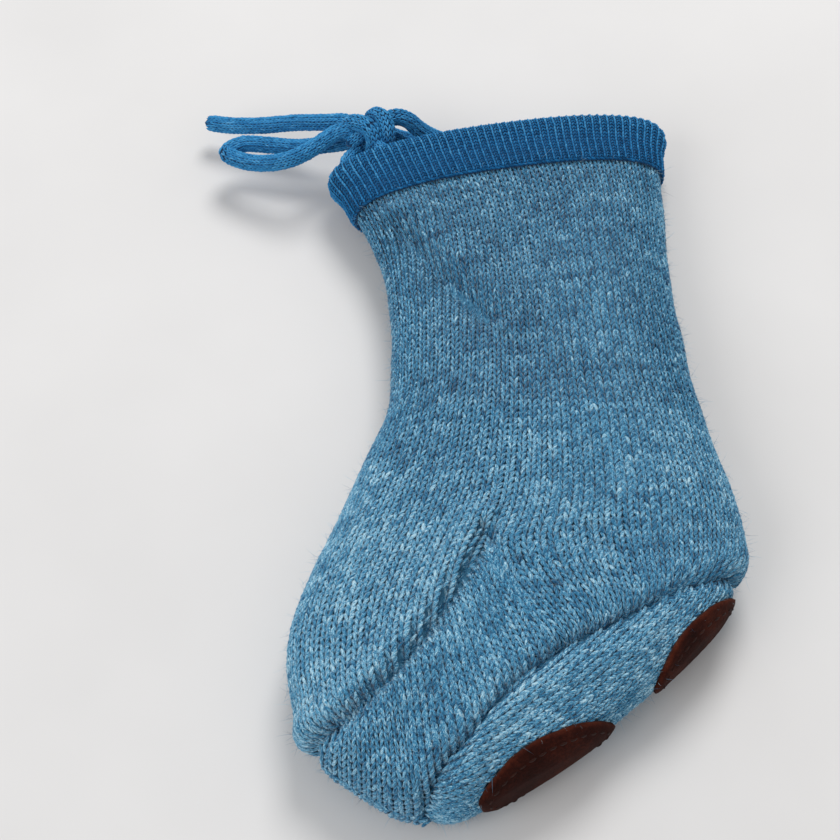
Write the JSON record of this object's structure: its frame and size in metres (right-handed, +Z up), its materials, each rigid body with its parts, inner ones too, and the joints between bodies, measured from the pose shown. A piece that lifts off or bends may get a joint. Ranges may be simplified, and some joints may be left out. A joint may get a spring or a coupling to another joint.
{
  "type": "baby bootie",
  "caption": "Knitted wool baby bootie lying on its side, with a ribbed drawstring casing round the cuff, a tied bow and leather tread patches under the sole.",
  "frame": {"origin": "on the surface that the bootie lies on, under the middle of the bootie's box without the drawstring", "axes": "+Y from the sole towards the cuff, +Z up out of the bootie's upper side, +X from the toe towards the heel"},
  "size_m": [0.1376, 0.2096, 0.0298],
  "materials": {
    "wool_knit": "heathered light blue wool stockinette, matt",
    "rib_casing": "fine plain-blue rib knit, matt",
    "drawstring": "tubular knitted cord, matt",
    "leather_patch": "brown suede leather",
    "patch_thread": "brown sewing thread"
  },
  "bodies": {
    "foot": {"heel_and_side_knit": "wool_knit", "instep_knit": "wool_knit", "sole_knit": "wool_knit", "toe_patch": "leather_patch", "toe_patch_thread": "patch_thread", "heel_patch": "leather_patch", "heel_patch_thread": "patch_thread"},
    "leg": {"leg_knit": "wool_knit", "cuff_casing": "rib_casing", "drawstring_in_casing": "drawstring", "bow_knot": "drawstring"},
    "left_loop": {"bow_loop_left": "drawstring"},
    "left_tail": {"bow_tail_left": "drawstring"},
    "right_loop": {"bow_loop_right": "drawstring"},
    "right_tail": {"bow_tail_right": "drawstring"}
  },
  "joints": [
    {"name": "ankle_flex", "type": "hinge", "parent": "foot", "child": "leg", "pos_m": [0.00702, 0.0132, 0.014], "axis": [0, 0, 1], "range_deg": [-20, 27]},
    {"name": "left_loop_lift", "type": "hinge", "parent": "leg", "child": "left_loop", "pos_m": [-0.03778, 0.0936, 0.0162], "axis": [0, 1, 0], "range_deg": [0, 60]},
    {"name": "left_tail_lift", "type": "hinge", "parent": "leg", "child": "left_tail", "pos_m": [-0.03778, 0.0936, 0.0162], "axis": [0, 1, 0], "range_deg": [0, 60]},
    {"name": "right_loop_lift", "type": "hinge", "parent": "leg", "child": "right_loop", "pos_m": [-0.03778, 0.0936, 0.0162], "axis": [0, -1, 0], "range_deg": [0, 60]},
    {"name": "right_tail_lift", "type": "hinge", "parent": "leg", "child": "right_tail", "pos_m": [-0.03778, 0.0936, 0.0162], "axis": [0, -1, 0], "range_deg": [0, 60]}
  ],
  "couplings": [
    {"joint": "right_tail_lift", "follows": "right_loop_lift", "ratio": 1}
  ]
}
